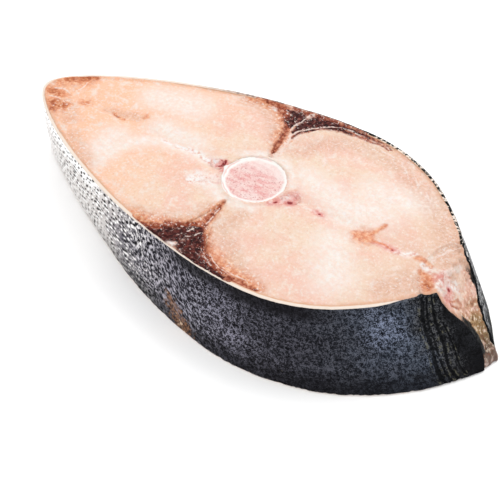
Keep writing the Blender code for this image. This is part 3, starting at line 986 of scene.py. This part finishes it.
skin = copy_of("skin", "steak_skin")
spots = places(skin)
inside_nodes = ("flesh", "fin_slot_tissue", "dark_muscle_near", "dark_muscle_far")
outer = distance_to(skin, *inside_nodes) > WALL_DEPTH
rings = np.unique(np.round(spots[:, 2], 2))
middle = rings[np.argmin(np.abs(rings - THICKNESS_MM / 2))]
line = spots[outer & (np.abs(spots[:, 2] - middle) < 0.02) & (spots[:, 1] <= 0.01)]
line = line[np.argsort(line[:, 0])]
walked = np.concatenate([[0], np.cumsum(np.hypot(*np.diff(line[:, :2], axis=0).T))])
known = np.sqrt(flank_share(line))
along = np.interp(np.sqrt(flank_share(spots)), known, walked)
store(skin, "outer", outer.astype(float))
print("flank length in mm:", round(walked[-1]), "rings:", len(rings))

only(skin)
bpy.ops.object.mode_set(mode="EDIT")
bpy.ops.mesh.select_all(action="SELECT")
bpy.ops.mesh.tris_convert_to_quads(
    face_threshold=math.radians(60), shape_threshold=math.radians(100)
)
bpy.ops.mesh.select_all(action="DESELECT")
bpy.ops.mesh.edges_select_sharp(sharpness=math.radians(50))
bpy.ops.transform.edge_crease(value=0.85)
bpy.ops.object.mode_set(mode="OBJECT")
quads = sum(len(p.vertices) == 4 for p in skin.data.polygons)
print("skin quads:", quads, "of", len(skin.data.polygons))
modify(skin, "SUBSURF", levels=2, render_levels=2)

on_wall = stored(skin, "outer")


def outer_wall(facet):
    return all(on_wall[v.index] > 0.97 for v in facet.verts)


bpy.ops.object.mode_set(mode="EDIT")
print("outer wall faces:", choose_faces(skin, outer_wall))
bpy.ops.mesh.subdivide(number_cuts=2)
bpy.ops.object.mode_set(mode="OBJECT")
smooth(skin)
print("skin faces:", len(skin.data.polygons))

# %% [markdown]
# Scale pits are about 1 mm across and stand in staggered rows, each a little off its place
# and of its own size. Luck comes from a generator with a fixed seed, so the skin is the same
# at every run. The belly is almost smooth, and near the fin slot the skin has no pits, but
# is folded into upright wrinkles.

# %% Skin, scales and wrinkles
PIT_STEP = 2.4
PIT_ROW = 1.9
PIT_RADIUS = 0.52
PIT_TILT = 0.35
PIT_DEPTH = 0.18
PIT_SEED = 11
FOLD_DEPTH = 0.30
INNER_SWELL = 0.30
SCALES_START = 12
SCALES_END = 176
SCALES_TOP = 26.6
FAR_FLANK = 500
FOLDS = [
    [(173.2, -4, 0.45), (173.8, 9, 0.5), (175.4, 18, 0.55), (179.4, 33, 0.45)],
    [(175.1, -4, 0.3), (175.7, 12, 0.3), (177.4, 20, 0.3), (181, 33, 0.3)],
    [(177.2, -4, 0.35), (177.4, 8, 0.4), (179, 17, 0.4), (182.8, 33, 0.35)],
    [(180.2, 2, 0.25), (180.8, 12, 0.3), (182, 19, 0.3)],
]

spots = places(skin)
along = np.interp(np.sqrt(flank_share(spots)), known, walked)
rise = spots[:, 2]
side = np.where(spots[:, 1] > 0, 1.0, 0.0)


def pits_from(along, rise, side):
    """How far each point is from the nearest scale pit, counted in the pit's radius."""
    luck = np.random.default_rng(PIT_SEED)
    shift = luck.uniform(-0.28, 0.28, (2, 24, 96, 2))
    size = luck.uniform(0.55, 1.25, (2, 24, 96))
    along, rise = (along + 0.6 * np.sin(rise / 3.7 + along / 11),
                   rise + 0.7 * np.sin(along / 5.3) + 0.4 * np.sin(along / 2.3 + rise / 3))
    found = np.full(len(along), 4.0)
    flank = side.astype(int)
    for row_step in (-1, 0, 1):
        row = np.floor(rise / PIT_ROW).astype(int) + row_step
        stagger = 0.5 * (row % 2)
        for column_step in (-1, 0, 1):
            column = np.floor(along / PIT_STEP - stagger).astype(int) + column_step
            moved = shift[flank, row % 24, column % 96]
            u = (column + 0.5 + stagger + moved[:, 0]) * PIT_STEP
            v = (row + 0.5 + moved[:, 1]) * PIT_ROW
            tilted = rise - v - PIT_TILT * (along - u)
            away = np.hypot((along - u) * 0.70, tilted * 1.35) / PIT_RADIUS
            found = np.minimum(found, away / size[flank, row % 24, column % 96])
    return found


pits = pits_from(along, rise, side)
outwards = stored(skin, "outer")
wall = np.clip(outwards * 20 - 19, 0, 1)
scaly = wall * np.clip((along - SCALES_START) / 25, 0.1, 1)
scaly = scaly * np.clip((SCALES_END - along) / 6, 0, 1) * np.clip((SCALES_TOP - rise) / 1.5, 0, 1)
flat = np.stack([along + FAR_FLANK * side, rise], axis=1)
folds = widths_from(np.stack([along + 0.4 * np.sin(rise / 2.6), rise], axis=1), FOLDS)
weigh(skin, "pit", scaly * np.clip(1.5 - pits, 0, 1))
weigh(skin, "wall", wall)
weigh(skin, "wrinkle", wall * np.clip(1.8 - folds, 0, 1))
weigh(skin, "inner", np.clip(1 - outwards * 4, 0, 1))
push(skin, "pit", -PIT_DEPTH)
push(skin, "wrinkle", -FOLD_DEPTH)
push(skin, "inner", INNER_SWELL)
press(skin, 6.0, 0.3, vertex_group="wall")
rest_on_table(skin)
store(skin, "along", along)
store(skin, "far_side", side)
store(skin, "pits", pits)
# A painted highlight just below and beside each pit.
store(skin, "glint", pits_from(along - 0.75, rise + 0.75, side))
store(skin, "fold", folds)
scratch = [(91, 10.5, 1.6), (92.6, 7, 3.0), (94.4, 3, 3.6), (95.4, -1, 3.2)]
store(skin, "scratch", widths_from(flat, [scratch]))
print("skin box in mm:", [round(x / MM, 1) for x in skin.dimensions])

# %% [markdown]
# The skin's colour runs along the flank, so three colour ramps on the stored length give the
# ground, the pits and the painted highlights of single scales, and fine noise with the pits picks
# one of the three. A painted highlight also sits just below each pit. On the slate part that noise
# is drawn out into slanted ticks, as the pigment is.
# The border between white and slate leans forward, so height shifts the length. Lengths along
# the flank count from the belly tip, and heights from the table, both in millimetres.

# %% Skin, finish
FLANK_SPAN = 192.0
GROUND = [
    (0, "EAE6E4"), (25, "DED9D6"), (45, "D8D3D0"), (60, "CCC6C4"), (67, "9C979A"), (73, "5C5862"),
    (79, "3E3B46"), (86, "312F39"), (95, "282630"), (108, "222029"), (122, "1A191F"),
    (136, "1F1F26"), (148, "24262E"), (158, "2D313A"), (168, "2D333E"), (176, "26282E"),
    (183, "0E0E10"), (192, "0B0B0D"),
]
PIT = [
    (0, "C4BEBD"), (15, "8E8886"), (28, "5E5A58"), (42, "403C3B"), (55, "2C2928"), (66, "1E1C1E"),
    (76, "18161A"), (88, "121014"), (105, "0E0C10"), (125, "0A090D"), (150, "0B0C11"),
    (165, "10131C"), (178, "08090B"), (192, "060608"),
]
# Painted highlights of single scales, along the flank.
SHINE = [
    (0, "FFFDFC"), (25, "FFFFFF"), (60, "FFFFFF"), (72, "FBF8F6"), (80, "D6D2D8"), (90, "ACA8B4"),
    (102, "A3A1AE"), (112, "9492A2"), (124, "605F6A"), (138, "4E4E57"), (150, "52545D"),
    (160, "5A5F6C"), (168, "5C6370"), (177, "5C5D60"), (184, "26272B"), (192, "1B1C1F"),
]
FAR_SHEET = 90.0

coat = Finish("scaled_skin", WALL_LIGHT)
along = coat.read("along")
far_side = coat.read("far_side")
outer = coat.read("outer")
height = coat.z
large = coat.noise(7.0, 3.0)
medium = coat.noise(2.0, 3.0, 0.6)
fine = coat.noise(0.40, 3.0, 0.8)
aged = coat.fade(along, 66, 84)
slant = coat.larger(coat.minus(height, 17.0), 0.0)
slant = coat.times(slant, coat.fade(along, 120, 100))
flank = coat.times_plus(slant, -0.6, coat.ragged(along, large, 12.0))
flank = coat.math("DIVIDE", flank, FLANK_SPAN)
flank_side = coat.times(far_side, FAR_SHEET)
sheet = coat.add("CombineXYZ", {0: along, 1: height, 2: flank_side}).outputs[0]
drawn = coat.add("CombineXYZ", {
    0: coat.times_plus(height, 0.45, along), 1: coat.times(height, 0.32), 2: flank_side,
}).outputs[0]
tick = coat.noise(0.55, 3.0, 0.75, drawn)
ticked = coat.where((along, 50, 66), (along, 116, 90))
tick = coat.times_plus(coat.minus(tick, fine), ticked, fine)
bent = coat.add("TexNoise", {"Vector": coat.place, "Scale": 0.7}).outputs[1]
bent = coat.vector("ADD", sheet, coat.vector("SCALE", bent, scale=0.9))
net = coat.add("TexVoronoi", {"Vector": bent, "Scale": 1 / 1.35, "Randomness": 0.75}).outputs[0]
net = coat.times_plus(net, 2.0, -0.85)
speckle = coat.plus(coat.sway(tick, 1.6), coat.sway(medium, 0.25))
quiet = coat.times_plus(aged, 0.95, 0.36)
speckle = coat.times(speckle, quiet)
speckle = coat.times_plus(coat.times(net, aged), 0.45, speckle)
pits = coat.ragged(coat.read("pits"), fine, 0.45)
pitted = coat.where((pits, 1.15, 0.85), (outer, 0.95, 1.0))
clear = coat.where((along, 68, 46), (height, 20.5, 25.5))
# Painted highlights beside the pits, on the lighter part of the flank.
glint = coat.fade(coat.ragged(coat.read("glint"), fine, 0.45), 1.5, 0.6)
young = coat.fade(along, 96, 76)
speckle = coat.times_plus(coat.times(glint, young), 0.35, speckle)
speckle = coat.times_plus(coat.times(pitted, young), -1.0, speckle)
speckle = coat.times_plus(clear, 0.30, speckle)
ground, pit, shine = (coat.ramp(flank, codes, span=FLANK_SPAN) for codes in (GROUND, PIT, SHINE))
coat.colour = coat.mixed((speckle, -0.12, -0.30), ground, pit)
coat.lay((speckle, 0.10, 0.28), shine)
# A painted blue sheen on the dark flank near the back.
blue_sheen = coat.ragged(coat.vector("DISTANCE", sheet, (164.0, 20.0, 0.0)), large, 6.0)
coat.lay(coat.where((blue_sheen, 9.0, 2.0), (speckle, 0.05, 0.35)), "95A0BC", 0.6)
# Painted shade near the table, with some of the flank's own darkening: the lower flank turns
# nearly black towards the bottom.
low = coat.ragged(height, medium, 2.5)
coat.lay(coat.where((low, 10.0, 2.5), (along, 30, 80)), "0A090D", 0.72)
# A painted shadow line just below the rim along the slate part of the flank.
coat.lay(coat.where((along, 88, 102), (height, 22.0, 25.5), (along, 156, 140)), "100E12", 0.85)

scar = coat.ragged(coat.read("scratch"), coat.noise(1.2, 3.0), 2.0)
worn = coat.mixed((coat.noise(0.8, 3.0), 0.42, 0.58), "4A3022", "96694A")
coat.lay((scar, 1.4, 0.4), worn, 0.75)
coat.lay((scar, 0.05, -0.35), "DDC0A6", 0.8)
# Each fold gets painted shade in its crease and a lighter olive line along its crests.
fold = coat.ragged(coat.read("fold"), coat.noise(0.9, 3.0), 1.0)
crest = coat.where((fold, 1.5, 2.1), (fold, 3.4, 2.5), (coat.noise(1.6, 3.0), 0.50, 0.60))
coat.lay(crest, "74725F", 0.42)
coat.lay((fold, 1.6, 0.8), "050608", 0.85)

rough = coat.noise(1.0, 3.0, 0.6)
outside = coat.fade(outer, 0.90, 0.98)
# A painted reflection: a grey sheen on the far flank beside the fin slot.
sheen = coat.where((coat.ragged(height, large, 8.0), 8.0, 14.0), (along, 166, 176),
                   (rough, 0.46, 0.52))
coat.lay(coat.times(sheen, far_side, outside), "BEBEC0", 0.6)
print("skin colours:", len(GROUND) + len(PIT) + len(SHINE))

# %% [markdown]
# The cut edge of the skin is cream, because the layer under the scales holds no pigment. On
# the far flank it is brown and then peppered with black, and at the fin slot it is black
# throughout. A number that is 1 on the outer wall tells the edge from the wall, and noise
# makes the line between them ragged.

# %% Skin, cut edge
brown = coat.ramp(rough, [(0.36, "2A1614"), (0.48, "8C6354"), (0.62, "DCC2B4")], CUT_LIGHT)
cream = coat.mixed(coat.noise(1.2), paint("FFF6EC"), paint("F8E2D0"))
dull = coat.times(far_side, coat.where((along, 50, 80), (along, 128, 108)))
cream = coat.mixed(dull, cream, brown, 0.9)
peppered = coat.times(far_side, coat.where((along, 96, 112), (rough, 0.46, 0.50)))
cream = coat.mixed(peppered, cream, paint("08080A"))
rim = coat.mixed(coat.noise(1.5, 2.0), paint("F6CDB0"), paint("EDB390"))
edge = coat.ragged(outer, coat.noise(1.2, 2.0), 0.07)
edge = coat.times_plus(coat.fade(coat.times_plus(far_side, -12.0, along), 163, 176), 0.9, edge)
lip = coat.mixed((edge, 0.10, 0.24), rim, cream)
coat.colour = coat.mixed((edge, 0.90, 0.97), lip, coat.colour)

# The upper rim of the far flank is black with white beads; the white is partly the pale edge and
# partly painted highlights.
beads = coat.ramp(rough, [(0.50, "08080A"), (0.53, "F4F1EE")], SLOT_LIGHT)
upper = coat.where((coat.ragged(height, medium, 3.0), 24.4, 26.4), (along, 108, 124))
coat.lay(coat.times(upper, far_side, outside), beads, 0.9)
relief = coat.bump(fine, 0.10, coat.bump(coat.minus(1.0, pitted), 0.16))
dullness = coat.add("MapRange", {"Value": along, "From Min": 120.0, "From Max": 180.0,
                                   "To Min": 0.34, "To Max": 0.7}).outputs[0]
material = coat.close(coat.colour, dullness, relief, Specular_IOR_Level=0.04)
skin.data.materials.append(material)
print("skin finish nodes:", len(coat.tree.nodes))

# %% [markdown]
# Where the back fin was trimmed off, a slot is left, filled with pale tissue: fat lumps and
# upright fibres. A copy of the node is remeshed, and clouds that an empty stretches upright
# press the fibres in. The empty is deleted afterwards. At the foot of the slot the tissue
# swells out past the skin, which one Displace along X gives. Its upper face is part of the
# cut and takes the flesh's strokes and relief.

# %% Fin slot tissue
BASE_END = Vector((82.0, 0.6, 1.6))
SLOT_FOOT_X = 84.0
SLOT_SLOPE = 0.585
TISSUE_VOXEL = 0.34
TISSUE_GROW = 0.70

tissue = copy_of("fin_slot_tissue", "steak_fin_slot_tissue")
finer(tissue, TISSUE_VOXEL)
spots = places(tissue)
slope = SLOT_FOOT_X - SLOT_SLOPE * spots[:, 2]
outside = np.clip((spots[:, 0] - slope + 4.0) / 2.0, 0, 1)
reach = np.hypot((spots[:, 1] - BASE_END.y) / 2.8, (spots[:, 2] - BASE_END.z) / 3.0)
weigh(tissue, "base_end", outside * np.clip(1.4 - reach, 0, 1))
weigh(tissue, "outside", outside)
press_cut(tissue, TISSUE_GROW, "flesh", "skin")
push(tissue, "base_end", 1.6, direction="X")
bpy.ops.object.select_all(action="DESELECT")
bpy.ops.object.empty_add(location=(0, 0, 0))
grain_guide = bpy.context.object
grain_guide.scale = (1, 1, 5)
bpy.context.view_layer.update()
press(tissue, 2.2, 0.7, vertex_group="outside", texture_coords="OBJECT",
      texture_coords_object=grain_guide)
press(tissue, 3.2, 1.0, vertex_group="outside")
bpy.data.objects.remove(grain_guide)
rest_on_table(tissue)
mark(tissue)
smooth(tissue)
print("tissue faces:", len(tissue.data.polygons))

# %% [markdown]
# The outside of the tissue is ochre, browner towards its foot, with pale strands, dark gaps
# between them that are painted shade, and lumps of fat. Beside the skin it is painted black,
# partly for the skin's dark edge and partly as painted shade in the slot. The upper face has
# the finish of the flesh, and one fades into the other a little below the rim.

# %% Fin slot tissue, finish
coat = Finish("fin_tissue", SLOT_LIGHT)
height = coat.z
strand = coat.stretched(0.8, (1, 1, 0.22), detail=3.0)
lump = coat.noise(2.4, 3.0)
rough = coat.noise(0.7, 3.0, 0.7)
level = coat.math("DIVIDE", coat.ragged(height, lump, 5.0), THICKNESS_MM)
coat.colour = coat.ramp(level, [
    (0.0, "725E58"), (0.16, "6C5648"), (0.30, "8A7050"), (0.46, "A88860"), (0.58, "BE8E70"),
    (0.70, "E2B29E"),
])
coat.lay(coat.where((strand, 0.52, 0.66), (height, -1.0, 8.0)), "F8E6D2", 0.8)
# Painted shade in the gaps between the strands, darker brown where the relief is low.
coat.lay(coat.where((strand, 0.46, 0.32), (level, 0.75, 0.45)), "6A4430", 0.85)
coat.lay((lump, 0.54, 0.66), "F4D6CC", 0.45)
coat.lay((rough, 0.44, 0.30), "8C4A36", 0.6)

# Beside the skin the tissue is painted black: partly the skin's dark edge, partly painted shade in
# the slot.
right = coat.times_plus(height, -0.23, coat.minus(coat.y, 0.6))
left = coat.larger(coat.minus(height, 14.0), 0.0)
left = coat.times_plus(left, 0.6, coat.plus(coat.y, 1.7))
black = coat.larger(coat.fade(coat.ragged(right, rough, 0.8), 0.2, 0.7),
                    coat.fade(coat.ragged(left, rough, 0.8), 0.2, -0.3))
coat.lay(coat.times(black, coat.fade(height, 4.4, 5.6)), "0B0B0D")
fibres = coat.colour
top = coat.times_plus(coat.y, -0.6, coat.ragged(height, lump, 4.0))
meat(coat)
coat.colour = coat.mixed((top, 18.0, 22.5), fibres, coat.colour)
coat.relief = coat.bump(strand, 0.35, coat.relief)
tissue.data.materials.append(close_meat(coat, depth=0.8))
print("tissue finish nodes:", len(coat.tree.nodes))

# %% [markdown]
# Each piece now stands for its CAD node, rides on the one body and takes its slot's name.

# %% Join the pieces to the frame
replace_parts(flesh, "flesh")
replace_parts(skin, "skin")
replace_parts(backbone, "backbone")
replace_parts(canals["spinal_cord"], "spinal_cord")
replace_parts(canals["blood_vessel"], "blood_vessel")
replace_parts(dark_pieces["dark_muscle_near"], "dark_muscle_near")
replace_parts(dark_pieces["dark_muscle_far"], "dark_muscle_far")
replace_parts(tissue, "fin_slot_tissue")
for piece in (flesh, skin, backbone, tissue, *canals.values(), *dark_pieces.values()):
    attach(piece, "root")
    print(piece.name, "triangles:", sum(len(p.vertices) - 2 for p in piece.data.polygons))

new_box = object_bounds()
for name, (low, high) in (("cad", cad_box), ("visual", new_box)):
    print(name, "box in mm:", [round(v / MM, 2) for v in (*low, *high)])
